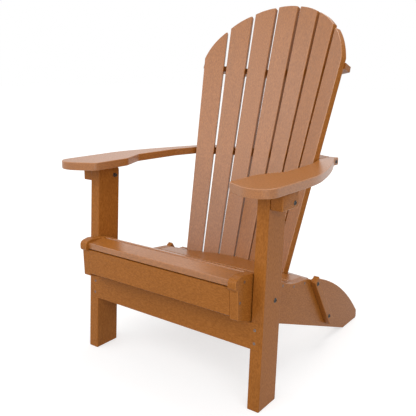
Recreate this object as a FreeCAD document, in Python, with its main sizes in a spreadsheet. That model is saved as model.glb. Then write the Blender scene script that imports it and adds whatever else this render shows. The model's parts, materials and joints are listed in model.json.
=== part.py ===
import FreeCAD, Part
import math
import os
import Sketcher
from FreeCAD import Matrix, Placement, Rotation, Vector

# A folding adirondack chair of wood-look plastic lumber, in millimetres.
# X is across the chair (+X is the sitter's left), the chair faces -Y, Z is up.
# The origin is on the floor, under the middle of the whole chair's box.
# Places along Y are written from the front foot's front edge, at DATUM.

SIZES = {
    # floor and foot datum
    "datum_y": -349.0,            # front edge of the front foot, from the origin
    # seat frame
    "seat_width": 550.0,          # between the two stringers
    "stringer_thick": 27.0,
    "stringer_heel_y": 643.7,     # where the stringer's lower edge meets the floor
    "stringer_slope": 21.9,       # degrees, of the lower edge
    "stringer_front_y": -44.5,
    "stringer_toe_y": 760.6,
    "nose_front_y": -57.3,        # front of the rounded nose on the stringer
    "nose_low_z": 361.0,
    "crest_z": 396.8,
    "crest_back": 31.0,           # crest behind the nose's front
    "nose_drop": 6.0,             # nose's top corner below the crest
    "seat_slope": 26.2,           # degrees, of the steep part of the seat
    "front_slope": 7.6,           # degrees, of the seat ahead of its bend
    "rear_slope": 6.1,            # degrees, of the seat's rear part
    "front_bend_y": 42.6,
    "rear_bend_y": 243.3,
    "front_bend_radius": 180.0,
    "rear_bend_radius": 225.0,
    "notch_front_y": 376.3,
    "notch_rear_y": 446.0,        # the arched tail starts here
    "notch_rear_z": 248.0,
    "notch_depth": 5.5,           # below the link's upper pivot
    "notch_wall": 11.0,           # the notch's front wall starts this far below the seat
    "notch_shoulder": 29.0,       # level stretch of the seat ahead of the notch
    "toe_z": 30.0,
    "tail_rise": 23.8,            # of the arched tail above a straight line
    "slat_wide": 63.5,
    "slat_thick": 19.5,
    "slat_gap": 6.5,
    "slat_first": 53.8,           # crest to the second slat, along the seat
    "nose_slat_y": -47.0,
    "nose_slat_z": 386.0,
    "nose_slat_rise": 3.0,        # degrees
    "back_clearance": 3.0,        # rear seat slat to the back
    "apron_low_z": 284.5,
    "apron_high_z": 363.5,
    "apron_front_y": -45.0,
    "apron_lean": 1.9,            # degrees, top forward
    # front legs
    "leg_gap": 3.0,               # stringer to leg, filled by a washer
    "leg_thick": 38.1,
    "leg_wide": 88.9,
    "leg_lean": 3.42,             # degrees, top rearward
    "leg_top_round": 22.0,
    "stretcher_low_z": 176.0,
    "stretcher_gap": 0.8,         # under the stringers' lower edges
    "stretcher_thick": 20.0,
    "stretcher_lap": 26.0,        # how far it is let into each leg
    "stretcher_bevel": 5.0,
    # arms
    "arm_top_z": 642.3,
    "arm_thick": 25.4,
    "arm_front_y": -63.0,
    "arm_over": 54.9,             # past the leg's outer face
    "arm_lap": 53.0,              # past the leg's inner face
    "arm_corner": 50.0,
    "arm_cut_wide": 73.0,         # slanted cut at the front's inner corner
    "arm_cut_deep": 39.0,
    "arm_cut_radius": 70.0,
    "arm_waist_radius": 60.0,
    "arm_cheek_radius": 40.0,
    "arm_neck_radius": 25.0,
    "arm_side_y": 211.0,          # rear end of the straight outer side
    "arm_side_reach": 53.0,       # how far its rounding runs each way
    "arm_sweep_y": 388.0,         # middle of the swept part
    "arm_sweep_in": 48.0,
    "arm_sweep_reach": 100.0,
    "arm_cheek_y": 113.0,         # inner side starts to narrow here
    "arm_waist_y": 205.0,
    "arm_waist_in": 4.0,
    "arm_sweep_back": 10.0,       # the inner side's own sweep
    "arm_neck_y": 480.0,
    "arm_tail_inner_x": 257.5,
    "arm_tail_outer_x": 288.5,
    "arm_tail_y": 567.0,
    "arm_flat": 33.0,             # the bolt's flat at the tail
    "cleat_wide": 85.0,
    "cleat_tall": 49.6,
    "cleat_front_y": 38.0,
    "cleat_thick": 38.1,
    # back
    "back_recline": 17.97,        # degrees
    "back_ref_y": 424.0,          # the back's front face on the middle plane ...
    "back_ref_z": 300.0,          # ... at this height
    "fan_low_radius": 380.0,      # curve of the back at the reference height
    "fan_high_radius": 566.0,     # curve of the back one fan height above
    "fan_height": 700.0,
    "fan_low_step": 9.6,          # degrees between slats at the reference height
    "fan_high_step": 8.8,         # degrees between slats one fan height above
    "fan_low_wide": 58.0,
    "fan_high_wide": 76.0,
    "back_thick": 22.0,
    "back_low_z": 232.0,
    "arch_top_z": 1164.0,
    "arch_radius": 291.0,
    "upper_rail_z": 938.5,        # top of the upper rail behind the middle slat
    "upper_rail_thick": 21.0,
    "rail_deep": 46.0,
    "upper_rail_half": 294.5,
    "arm_rail_front_y": 500.0,
    "arm_rail_rear_y": 587.0,
    "arm_rail_slant": 45.0,       # each rear corner is cut this far in
    "lower_rail_thick": 19.5,
    "lower_rail_lap": 21.0,       # round the link's upper pivot
    # folding links and pivots
    "link_thick": 19.0,
    "link_wide": 30.0,
    "link_shift": 3.5,            # link's middle line behind its pivots' line
    "link_over_top": 15.0,        # link past its upper pivot
    "link_over_low": 36.7,        # link past its lower pivot
    "leg_pivot_y": 76.0,
    "leg_pivot_z": 306.0,
    "arm_front_pivot_y": 102.0,
    "arm_front_pivot_z": 582.0,
    "arm_rear_pivot_y": 550.0,
    "link_high_y": 382.0,
    "link_high_z": 255.0,
    "link_low_y": 476.0,
    "link_low_z": 112.0,
    "bolt_radius": 4.0,
    "running_gap": 0.05,
    "side_gap": 0.5,              # between faces that slide past each other
    "open_pivot_gap": 2.3,        # round the arm's front bolt, for the fold
    "head_radius": 7.0,
    "head_high": 4.0,
    "nut_flat": 11.0,             # across the flats
    "nut_thick": 6.5,
    "washer_radius": 7.0,
    "washer_thick": 1.6,
    "end_bolt_depth": 45.0,       # of the bolts that run into a rail's end
    # screws and finish
    "screw_radius": 2.1,
    "screw_head_radius": 4.0,
    "screw_head_deep": 2.4,
    "screw_proud": 0.3,
    "seat_screw_down": 11.0,      # below the slat's top
    "seat_screw_back": 13.0,      # behind the slat's middle
    "seat_screw_long": 60.0,
    "rail_screw_bite": 15.0,      # how far it reaches into a slat
    "stretcher_screw_long": 32.0,
    "cleat_screw_long": 65.0,
    "edge_ease": 2.5,             # radius on every board's long edges
}

doc = FreeCAD.newDocument("adirondack_chair")
sheet = doc.addObject("Spreadsheet::Sheet", "Sizes")
for row, (alias, number) in enumerate(SIZES.items(), start=1):
    sheet.set(f"A{row}", alias)
    sheet.set(f"B{row}", str(number))
    sheet.setAlias(f"B{row}", alias)
doc.recompute()


def size(alias):
    return float(sheet.get(alias))


DATUM = size("datum_y")
SIDES = {"left": 1, "right": -1}
STRINGER_IN = size("seat_width") / 2
STRINGER_OUT = STRINGER_IN + size("stringer_thick")
LEG_IN = STRINGER_OUT + size("leg_gap")
LEG_OUT = LEG_IN + size("leg_thick")
LINK_IN = STRINGER_OUT + size("side_gap")
LINK_OUT = LINK_IN + size("link_thick")
CLEAT_IN = LEG_OUT + size("side_gap")
CLEAT_OUT = CLEAT_IN + size("cleat_thick")
ARM_UNDER_Z = size("arm_top_z") - size("arm_thick")
STOP_GAP = 0.3                    # between faces that meet only when unfolded

parts = []


# ---------------------------------------------------------------- building blocks

def at(y, z, x=0.0):
    """A point of the chair: y counts from the front foot's front edge."""
    return Vector(x, DATUM + y, z)


def tan(degrees):
    return math.tan(math.radians(degrees))


def cos(degrees):
    return math.cos(math.radians(degrees))


def sin(degrees):
    return math.sin(math.radians(degrees))


def crossing(first, first_slope, second, second_slope):
    """Where two sloping lines in the side view meet."""
    y = (second[1] - first[1] + first_slope * first[0] - second_slope * second[0])
    y /= first_slope - second_slope
    return y, first[1] + first_slope * (y - first[0])


def axes(origin, x_axis, y_axis):
    """A placement whose own x and y axes lie along two given directions."""
    x_axis = Vector(x_axis).normalize()
    z_axis = x_axis.cross(y_axis).normalize()
    y_axis = z_axis.cross(x_axis)
    matrix = Matrix(x_axis.x, y_axis.x, z_axis.x, origin.x,
                    x_axis.y, y_axis.y, z_axis.y, origin.y,
                    x_axis.z, y_axis.z, z_axis.z, origin.z,
                    0, 0, 0, 1)
    return Placement(matrix)


def side_view(inner_x, thick, side):
    """Own x runs rearward, own y up and the board's thickness across the chair."""
    x = inner_x if side > 0 else -inner_x - thick
    return axes(Vector(x, DATUM, 0), Vector(0, 1, 0), Vector(0, 0, 1))


def rounded(corners):
    """Closed outline through corners (x, y, radius), each rounded by its radius."""
    points = [Vector(x, y, 0) for x, y, _ in corners]
    cuts = []
    for index, (_, _, radius) in enumerate(corners):
        here = points[index]
        back = (points[index - 1] - here).normalize()
        ahead = (points[(index + 1) % len(points)] - here).normalize()
        half = back.getAngle(ahead) / 2
        reach = radius / math.tan(half)
        middle = here + (back + ahead).normalize() * (radius / math.sin(half) - radius)
        cuts.append((here + back * reach, middle, here + ahead * reach, radius))
    edges = []
    for index, (_, _, leave, _) in enumerate(cuts):
        arrive, middle, depart, radius = cuts[(index + 1) % len(cuts)]
        edges.append(Part.LineSegment(leave, arrive))
        if radius:
            edges.append(Part.Arc(arrive, middle, depart))
    return edges


def add_sketch(body, name, geometry, role="XY_Plane"):
    """A sketch on one of the body's own planes."""
    sketch = body.newObject("Sketcher::SketchObject", name)
    plane = next(item for item in body.Origin.OriginFeatures if item.Role == role)
    sketch.AttachmentSupport = [(plane, "")]
    sketch.MapMode = "FlatFace"
    sketch.addGeometry(geometry, False)
    return sketch


def add_bores(sketch, bores):
    """Round holes in a board's outline: (x, y, radius as an expression)."""
    for x, y, radius in bores:
        circle = Part.Circle(Vector(x, y, 0), Vector(0, 0, 1), size("bolt_radius"))
        index = sketch.addGeometry(circle, False)
        sketch.addConstraint(Sketcher.Constraint("Radius", index, size("bolt_radius")))
        last = sketch.ConstraintCount - 1
        sketch.setExpression(f"Constraints[{last}]", radius)


def add_pad(body, sketch, thick):
    pad = body.newObject("PartDesign::Pad", body.Name + "_pad")
    pad.Profile = sketch
    pad.setExpression("Length", thick)
    sketch.Visibility = False
    doc.recompute()
    return pad


def ease_edges(body, base):
    """Round the edges round both flat faces of a board."""
    names = []
    for index, edge in enumerate(base.Shape.Edges, start=1):
        if edge.BoundBox.ZLength < 1e-6 and not edge.isClosed():
            names.append(f"Edge{index}")
    fillet = body.newObject("PartDesign::Fillet", body.Name + "_ease")
    fillet.Base = (base, names)
    fillet.setExpression("Radius", "Sizes.edge_ease")
    doc.recompute()
    return fillet


def board(name, outline, thick, placement, bores=()):
    """A flat board: one outline, one thickness, bored through, edges eased."""
    body = doc.addObject("PartDesign::Body", name)
    body.Label = name
    sketch = add_sketch(body, name + "_outline", outline)
    add_bores(sketch, bores)
    ease_edges(body, add_pad(body, sketch, thick))
    body.Placement = placement
    return body


def slab(name, wide, deep, thick, placement):
    """A rectangular board, centred on its own y axis, from y = 0 to its depth."""
    body = doc.addObject("PartDesign::Body", name)
    body.Label = name
    corners = [Vector(-1, 0, 0), Vector(1, 0, 0), Vector(1, 1, 0), Vector(-1, 1, 0)]
    lines = [Part.LineSegment(corners[k], corners[(k + 1) % 4]) for k in range(4)]
    sketch = add_sketch(body, name + "_outline", lines)
    joints = [("Coincident", k, 2, (k + 1) % 4, 1) for k in range(4)]
    level = [("Horizontal", 0), ("Horizontal", 2), ("Vertical", 1), ("Vertical", 3)]
    placed = [("Symmetric", 0, 1, 0, 2, -1, 1)]
    for rule in joints + level + placed:
        sketch.addConstraint(Sketcher.Constraint(*rule))
    for rule, expression in ((("DistanceX", 0, 1, 0, 2, 2.0), wide),
                             (("DistanceY", 1, 1, 1, 2, 1.0), deep)):
        sketch.addConstraint(Sketcher.Constraint(*rule))
        sketch.setExpression(f"Constraints[{sketch.ConstraintCount - 1}]", expression)
    doc.recompute()
    pad = add_pad(body, sketch, thick)
    ease_edges(body, pad)
    body.Placement = placement
    return body


def keep(*objects):
    parts.extend(objects)


def solids(name, shapes):
    """One node that holds a group of like solids."""
    node = doc.addObject("Part::Feature", name)
    node.Label = name
    node.Shape = shapes[0] if len(shapes) == 1 else Part.makeCompound(shapes)
    keep(node)
    return node


def turned(profile, start, along):
    """A turned piece: profile points (radius, height) or an arc's (middle, end)."""
    edges = []
    here = profile[0]
    for step in profile[1:] + profile[:1]:
        if isinstance(step[0], tuple):
            middle, end = step
            points = [Vector(r, 0, h) for r, h in (here, middle, end)]
            edges.append(Part.Arc(*points).toShape())
            here = end
        else:
            edges.append(Part.makeLine(Vector(here[0], 0, here[1]), Vector(step[0], 0, step[1])))
            here = step
    shape = Part.Face(Part.Wire(edges)).revolve(Vector(0, 0, 0), Vector(0, 0, 1), 360)
    shape.Placement = Placement(start, Rotation(Vector(0, 0, 1), along))
    return shape


def bolt(seat, along, grip):
    """A domed bolt: the head's seat, the way the head faces, the shank's length."""
    head = size("head_radius")
    high = size("head_high")
    shank = size("bolt_radius")
    ball = (head ** 2 + high ** 2) / (2 * high)
    half = math.asin(head / ball) / 2
    dome = ((ball * math.sin(half), high - ball + ball * math.cos(half)), (0, high))
    profile = [(0, -grip), (shank, -grip), (shank, 0), (head, 0), dome]
    return turned(profile, seat, along)


def screw(seat, along, long):
    """A countersunk screw, its flat head just proud of the board."""
    head = size("screw_head_radius")
    shank = size("screw_radius")
    proud = size("screw_proud")
    deep = size("screw_head_deep")
    tip = -long + 2 * shank
    profile = [(0, -long), (shank, tip), (shank, -deep), (head, 0), (head, proud), (0, proud)]
    return turned(profile, seat, along)


def washer(seat, along, thick, hole):
    """A flat ring that stands on its seat."""
    profile = [(hole, 0), (size("washer_radius"), 0), (size("washer_radius"), thick), (hole, thick)]
    return turned(profile, seat, along)


def nut(seat, along):
    """A plain hexagon nut that stands on its seat."""
    across = size("nut_flat") / math.sqrt(3)
    ring = [Vector(across * cos(60 * k), across * sin(60 * k), 0) for k in range(7)]
    block = Part.Face(Part.makePolygon(ring)).extrude(Vector(0, 0, size("nut_thick")))
    bore = Part.makeCylinder(size("bolt_radius"), size("nut_thick"))
    shape = block.cut(bore)
    shape.Placement = Placement(seat, Rotation(Vector(0, 0, 1), along))
    return shape


BORE = "Sizes.bolt_radius + Sizes.running_gap"
OPEN_BORE = "Sizes.bolt_radius + Sizes.open_pivot_gap"


# ---------------------------------------------------------------- seat frame

def lower_edge(y):
    """Height of the stringer's straight lower edge."""
    return (size("stringer_heel_y") - y) * tan(size("stringer_slope"))


def seat_line():
    """Corners of the seat's side view: crest, front bend, rear bend, notch."""
    steep = -tan(size("seat_slope"))
    flat = -tan(size("front_slope"))
    low = -tan(size("rear_slope"))
    crest_y = size("nose_front_y") + size("crest_back")
    front_y = size("front_bend_y")
    front = (front_y, size("crest_z") + flat * (front_y - crest_y))
    rear_y = size("rear_bend_y")
    rear = (rear_y, front[1] + steep * (rear_y - front_y))
    end_y = size("notch_front_y") - size("notch_shoulder")
    end = (end_y, rear[1] + low * (end_y - rear_y))
    return (crest_y, size("crest_z")), front, rear, end


def arched(start, end, rise):
    """Corner and radius that turn a straight line into an arc of a given rise."""
    chord = end - start
    half = chord.Length / 2
    radius = (half ** 2 + rise ** 2) / (2 * rise)
    turn = math.asin(half / radius)
    out = Vector(chord.y, -chord.x, 0).normalize()
    corner = (start + end) * 0.5 + out * (half * math.tan(turn))
    return corner.x, corner.y, 0.97 * radius


def stringer_outline():
    """The stringer: straight lower edge, foot, arched tail, link notch, seat, nose."""
    crest, front, rear, end = seat_line()
    front_y = size("stringer_front_y")
    nose_y = size("nose_front_y")
    notch_y = size("notch_front_y")
    toe = Vector(size("stringer_toe_y"), size("toe_z"), 0)
    rim = Vector(size("notch_rear_y"), size("notch_rear_z"), 0)
    floor_z = size("link_high_z") - size("notch_depth")
    return [
        (front_y, lower_edge(front_y), 3),
        (size("stringer_heel_y"), 0, 4),
        (toe.x, 0, 8),
        (toe.x, toe.y, 10),
        arched(toe, rim, size("tail_rise")),
        (rim.x, rim.y, 4),
        (notch_y, floor_z, 3),
        (notch_y, end[1] - size("notch_wall"), 2),
        (end[0], end[1], 40),
        (rear[0], rear[1], size("rear_bend_radius")),
        (front[0], front[1], size("front_bend_radius")),
        (crest[0], crest[1], 25),
        (nose_y, crest[1] - size("nose_drop"), 15),
        (nose_y, size("nose_low_z"), 9),
        (front_y - 2.8, size("nose_low_z"), 1),
    ]


STRINGER_BORES = [
    (size("leg_pivot_y"), size("leg_pivot_z"), BORE),
    (size("link_low_y"), size("link_low_z"), BORE),
]


def seat_edges():
    """The seat's line in the side view: straight, bend, steep, bend, rear part."""
    crest, front, rear, end = seat_line()
    corners = [
        (crest[0], crest[1], 0),
        (front[0], front[1], size("front_bend_radius")),
        (rear[0], rear[1], size("rear_bend_radius")),
        (end[0] + size("slat_wide"), end[1] - size("slat_wide") * tan(size("rear_slope")), 0),
    ]
    return [curve.toShape() for curve in rounded(corners)[:5]]


def seat_point(distance):
    """The point of the seat's line at a distance behind the crest."""
    for edge in seat_edges():
        if distance <= edge.Length:
            break
        distance -= edge.Length
    return edge.valueAt(edge.getParameterByLength(distance))


def slat_places():
    """Front top edge and direction of every seat slat, as points (y, z)."""
    nose = Vector(size("nose_slat_y"), size("nose_slat_z"), 0)
    rise = Vector(cos(size("nose_slat_rise")), sin(size("nose_slat_rise")), 0)
    places = [(nose, rise)]
    wide = size("slat_wide")
    for count in range(5):
        start = size("slat_first") + count * (wide + size("slat_gap"))
        front = seat_point(start)
        places.append((front, (seat_point(start + wide) - front).normalize()))
    return places


def slat_placement(front, run):
    """Top face up, own y rearward along the slat's run."""
    top = Vector(-run.y, run.x, 0)
    low = front - top * size("slat_thick")
    return axes(at(low.x, low.y), Vector(1, 0, 0), Vector(0, run.x, run.y))


def fan_share(z):
    return (z - size("back_ref_z")) / size("fan_height")


def fan_radius(z):
    share = fan_share(z)
    return size("fan_low_radius") * (1 - share) + size("fan_high_radius") * share


def fan_wide(z):
    share = fan_share(z)
    return size("fan_low_wide") * (1 - share) + size("fan_high_wide") * share


def fan_middle(z):
    """Where the back's front face crosses the middle plane at a height."""
    return size("back_ref_y") + (z - size("back_ref_z")) * tan(size("back_recline"))


def make_rear_slat(front, run):
    """The last seat slat: its rear edge bulges along the foot of the back."""
    name = "seat_slat_rear"
    half = size("seat_width") / 2
    bend = half * 0.75
    z = front.y + run.y / run.x * (fan_middle(front.y) - front.x)
    reach = fan_radius(z) - size("back_clearance")
    centre = fan_middle(z) - fan_radius(z) - front.x
    shoulder = centre + math.sqrt(reach ** 2 - bend ** 2)
    ring = [Vector(*point, 0) for point in (
        (bend, shoulder), (half, shoulder), (half, 0), (-half, 0), (-half, shoulder),
        (-bend, shoulder))]
    outline = [Part.LineSegment(ring[k], ring[k + 1]) for k in range(5)]
    outline.append(Part.Arc(ring[5], Vector(0, centre + reach, 0), ring[0]))
    keep(board(name, outline, "Sizes.slat_thick", slat_placement(front, run)))


def make_seat_frame():
    for name, side in SIDES.items():
        place = side_view(STRINGER_IN, size("stringer_thick"), side)
        keep(board(f"stringer_{name}", rounded(stringer_outline()), "Sizes.stringer_thick",
                   place, STRINGER_BORES))
    places = slat_places()
    for number, (front, run) in enumerate(places[:-1], start=1):
        keep(slab(f"seat_slat_{number}", "Sizes.seat_width", "Sizes.slat_wide",
                  "Sizes.slat_thick", slat_placement(front, run)))
    make_rear_slat(*places[-1])
    lean = size("apron_lean")
    low = at(size("apron_front_y"), size("apron_low_z"))
    rear = low + Vector(0, cos(lean), sin(lean)) * size("slat_thick")
    keep(slab("seat_apron", "Sizes.seat_width",
              "(Sizes.apron_high_z - Sizes.apron_low_z) / cos(Sizes.apron_lean)",
              "Sizes.slat_thick", axes(rear, Vector(1, 0, 0), Vector(0, -sin(lean), cos(lean)))))


def make_seat_screws():
    """One screw into each end of every seat slat and of the apron."""
    spots = []
    for number, (front, run) in enumerate(slat_places()):
        back = size("seat_screw_back") if number else 0.0
        top = Vector(-run.y, run.x, 0)
        spots.append(front + run * (size("slat_wide") / 2 + back) - top * size("seat_screw_down"))
    middle = size("apron_front_y") + size("slat_thick") / 2
    spots.append(Vector(middle, (size("apron_high_z") + size("apron_low_z")) / 2, 0))
    shapes = []
    for side in SIDES.values():
        for spot in spots:
            seat = at(spot.x, spot.y, side * STRINGER_OUT)
            shapes.append(screw(seat, Vector(side, 0, 0), size("seat_screw_long")))
    solids("seat_screws", shapes)


def make_frame_pivots():
    """Bolts fixed in the stringers: the front legs' and the links' lower pivots."""
    leg_spot = (size("leg_pivot_y"), size("leg_pivot_z"))
    link_spot = (size("link_low_y"), size("link_low_z"))
    groups = {}
    for name, spot, outer in (("leg_pivot", leg_spot, LEG_OUT), ("link_low", link_spot, LINK_OUT)):
        seat = outer + STOP_GAP
        grip = seat - STRINGER_IN + size("nut_thick")
        groups[name + "_bolts"] = [bolt(at(*spot, side * seat), Vector(side, 0, 0), grip)
                                   for side in SIDES.values()]
        groups[name + "_nuts"] = [nut(at(*spot, side * STRINGER_IN), Vector(-side, 0, 0))
                                  for side in SIDES.values()]
    groups["leg_pivot_washers"] = [
        washer(at(*leg_spot, side * STRINGER_OUT), Vector(side, 0, 0),
               size("leg_gap") - STOP_GAP, size("bolt_radius"))
        for side in SIDES.values()]
    for name, shapes in groups.items():
        solids(name, shapes)


# ---------------------------------------------------------------- front legs

def leg_face(z):
    """The leg's front face at a height."""
    return z * tan(size("leg_lean"))


def make_leg(name, side):
    """A leg with the housing for the stretcher cut into its inner front edge."""
    wide = size("leg_wide") / cos(size("leg_lean"))
    top = ARM_UNDER_Z - STOP_GAP
    outline = rounded([
        (0, 0, 2),
        (wide, 0, 2),
        (leg_face(top) + wide, top, size("leg_top_round")),
        (leg_face(top), top, 2),
    ])
    bores = [
        (size("leg_pivot_y"), size("leg_pivot_z"), BORE),
        (size("arm_front_pivot_y"), size("arm_front_pivot_z"), OPEN_BORE),
    ]
    place = side_view(LEG_IN, size("leg_thick"), side)
    body = board(f"front_leg_{name}", outline, "Sizes.leg_thick", place, bores)
    sketch = add_sketch(body, f"housing_{name}", stretcher_section(ahead=10.0))
    if side < 0:
        sketch.setExpression(".AttachmentOffset.Base.z", "Sizes.leg_thick - Sizes.stretcher_lap")
    before = body.Shape.Volume
    pocket = body.newObject("PartDesign::Pocket", f"housing_{name}_cut")
    pocket.Profile = sketch
    pocket.setExpression("Length", "Sizes.stretcher_lap")
    pocket.Reversed = True
    doc.recompute()
    if body.Shape.Volume >= before:
        raise RuntimeError(f"the housing cuts nothing from {body.Label}")
    keep(body)


def stretcher_top(back):
    """Height of its top on the leg's face or a thickness behind it, under the stringers."""
    slope = tan(size("stringer_slope"))
    under = (size("stringer_heel_y") - back) * slope - size("stretcher_gap") / cos(
        size("stringer_slope"))
    return under / (1 + tan(size("leg_lean")) * slope)


def stretcher_section(ahead=0.0):
    """Flush with the legs' faces; its top lies along the stringers' lower edges and its
    hidden rear top edge is bevelled for the fold."""
    slope = tan(size("stringer_slope"))
    thick = size("stretcher_thick") / cos(size("leg_lean"))
    bevel = size("stretcher_bevel")
    low, front, rear = size("stretcher_low_z"), stretcher_top(0), stretcher_top(thick)
    return rounded([
        (leg_face(low) - ahead, low, 0),
        (leg_face(low) + thick, low, 0),
        (leg_face(rear - bevel) + thick, rear - bevel, 0),
        (leg_face(rear) + thick - bevel, rear + bevel * slope, 0),
        (leg_face(front) - ahead, front + ahead * slope, 0),
    ])


def make_leg_frame():
    for name, side in SIDES.items():
        make_leg(name, side)
    half = LEG_IN + size("stretcher_lap")
    place = side_view(-half, 2 * half, 1)
    keep(board("front_stretcher", stretcher_section(),
               "Sizes.seat_width + 2 * (Sizes.stringer_thick + Sizes.leg_gap + Sizes.stretcher_lap)",
               place))
    lean = size("leg_lean")
    low = size("stretcher_low_z")
    tall = stretcher_top(0) - low
    shapes = []
    for side in SIDES.values():
        for share in (0.245, 0.743):
            z = low + tall * share
            seat = at(leg_face(z), z, side * (LEG_IN + size("stretcher_lap") / 2))
            shapes.append(screw(seat, Vector(0, -cos(lean), sin(lean)),
                                size("stretcher_screw_long")))
    solids("stretcher_screws", shapes)


# ---------------------------------------------------------------- folding links

def make_links():
    """A flat bar each side, from the stringer up to the end of the lower rail."""
    high = Vector(size("link_high_y"), size("link_high_z"), 0)
    low = Vector(size("link_low_y"), size("link_low_z"), 0)
    up = (high - low).normalize()
    rear = Vector(up.y, -up.x, 0)
    half = size("link_wide") / 2
    shift = size("link_shift")
    corners = []
    for end, along, first in ((high, up * size("link_over_top"), 1),
                              (low, up * -size("link_over_low"), -1)):
        for across in (first, -first):
            corner = end + along + rear * (across * half + shift)
            corners.append((corner.x, corner.y, 3))
    bores = [(point.x, point.y, BORE) for point in (high, low)]
    for name, side in SIDES.items():
        place = side_view(LINK_IN, size("link_thick"), side)
        keep(board(f"back_link_{name}", rounded(corners), "Sizes.link_thick", place, bores))


# ---------------------------------------------------------------- arms

def swept(before, corner, after, reach):
    """Corner and radius of a rounding that runs a given way along both sides."""
    come = Vector(corner[0] - before[0], corner[1] - before[1], 0)
    turn = come.getAngle(Vector(after[0] - corner[0], after[1] - corner[1], 0))
    return corner[0], corner[1], reach / math.tan(turn / 2)


def arm_outline(side):
    """Plan of an arm: broad rounded front, swept tail with a flat for its bolt."""
    front = size("arm_front_y")
    outer = LEG_OUT + size("arm_over")
    inner = LEG_IN - size("arm_lap")
    tail_in = size("arm_tail_inner_x")
    tail_out = size("arm_tail_outer_x")
    rear = size("arm_tail_y")
    sweep_y = size("arm_sweep_y")
    waist = tail_out + size("arm_waist_in")
    shoulder = (outer, size("arm_side_y"))
    sweep = (outer - size("arm_sweep_in"), sweep_y)
    flat = (tail_out, rear - size("arm_flat"))
    corners = [
        (outer, front, size("arm_corner")),
        swept((outer, front), shoulder, sweep, size("arm_side_reach")),
        swept(shoulder, sweep, flat, size("arm_sweep_reach")),
        (*flat, 2),
        (tail_out, rear, 2),
        (tail_in, rear, 2),
        (tail_in, size("arm_neck_y"), size("arm_neck_radius")),
        (waist - size("arm_sweep_back"), sweep_y, size("arm_waist_radius")),
        (waist, size("arm_waist_y"), size("arm_cheek_radius")),
        (inner, size("arm_cheek_y"), size("arm_cheek_radius")),
        (inner, front + size("arm_cut_deep"), size("arm_cut_deep") / 2),
        (inner + size("arm_cut_wide"), front, size("arm_cut_radius")),
    ]
    if side < 0:
        corners = [(-x, y, radius) for x, y, radius in reversed(corners)]
    return rounded(corners)


def bore_tail(arm, side):
    """The rear bolt's hole, drilled across the tail from the chair's middle."""
    sketch = add_sketch(arm, arm.Name + "_tail", [], "YZ_Plane")
    add_bores(sketch, [(size("arm_rear_pivot_y"), size("arm_thick") / 2, BORE)])
    before = arm.Shape.Volume
    pocket = arm.newObject("PartDesign::Pocket", arm.Name + "_tail_bore")
    pocket.Profile = sketch
    pocket.Type = "ThroughAll"
    pocket.Reversed = side > 0
    doc.recompute()
    if arm.Shape.Volume >= before:
        raise RuntimeError(f"the tail bore cuts nothing from {arm.Label}")


def make_arms():
    for name, side in SIDES.items():
        place = Placement(Vector(0, DATUM, ARM_UNDER_Z), Rotation())
        arm = board(f"arm_{name}", arm_outline(side), "Sizes.arm_thick", place)
        bore_tail(arm, side)
        keep(arm)
    front = size("cleat_front_y")
    rear = front + size("cleat_wide")
    low = ARM_UNDER_Z - size("cleat_tall")
    corners = [(front, low, 3), (rear, low, 3), (rear, ARM_UNDER_Z, 0), (front, ARM_UNDER_Z, 0)]
    bores = [(size("arm_front_pivot_y"), size("arm_front_pivot_z"), BORE)]
    for name, side in SIDES.items():
        place = side_view(CLEAT_IN, size("cleat_thick"), side)
        keep(board(f"arm_cleat_{name}", rounded(corners), "Sizes.cleat_thick", place, bores))
    shapes = []
    for side in SIDES.values():
        for share in (0.18, 0.45):
            seat = at(front + size("cleat_wide") * share, low,
                      side * (CLEAT_IN + size("cleat_thick") / 2))
            shapes.append(screw(seat, Vector(0, 0, -1), size("cleat_screw_long")))
    solids("cleat_screws", shapes)


def make_arm_pivots():
    """Bolts that turn with the arms: through the cleats, and through the tails."""
    groups = {"arm_front_bolts": [], "arm_front_washers": [], "arm_front_nuts": [],
              "arm_rear_bolts": []}
    thin = size("washer_thick")
    spot = (size("arm_front_pivot_y"), size("arm_front_pivot_z"))
    inner = LEG_IN - STOP_GAP
    tail = size("arm_tail_outer_x")
    tail_grip = tail - size("arm_tail_inner_x") + size("end_bolt_depth")
    for side in SIDES.values():
        out = Vector(side, 0, 0)
        grip = CLEAT_OUT - inner + thin + size("nut_thick")
        groups["arm_front_bolts"].append(bolt(at(*spot, side * CLEAT_OUT), out, grip))
        groups["arm_front_washers"].append(
            washer(at(*spot, side * inner), -out, thin, size("bolt_radius")))
        groups["arm_front_nuts"].append(nut(at(*spot, side * (inner - thin)), -out))
        seat = at(size("arm_rear_pivot_y"), ARM_UNDER_Z + size("arm_thick") / 2, side * tail)
        groups["arm_rear_bolts"].append(bolt(seat, out, tail_grip))
    for name, shapes in groups.items():
        solids(name, shapes)


# ---------------------------------------------------------------- back

BACK_UP = Vector(0, sin(size("back_recline")), cos(size("back_recline")))
BACK_REAR = Vector(0, cos(size("back_recline")), -sin(size("back_recline")))
BACK_REF = at(size("back_ref_y"), size("back_ref_z"))
SLATS = range(-3, 4)              # the middle slat is number 0


def fan_point(number, z):
    """Middle of a slat's front face at a height."""
    share = fan_share(z)
    step = size("fan_low_step") * (1 - share) + size("fan_high_step") * share
    radius = fan_radius(z)
    centre = fan_middle(z) - radius
    return at(centre + radius * cos(number * step), z, radius * sin(number * step))


def slat_frame(number):
    """A slat's level width direction and the direction its front face looks."""
    turn = number * (size("fan_low_step") + size("fan_high_step")) / 2
    across = Vector(cos(turn), -sin(turn), 0)
    run = fan_point(number, size("arch_top_z")) - fan_point(number, size("back_low_z"))
    return across, across.cross(run).normalize()


def along_back(point):
    return (point - BACK_REF).dot(BACK_UP)


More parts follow.
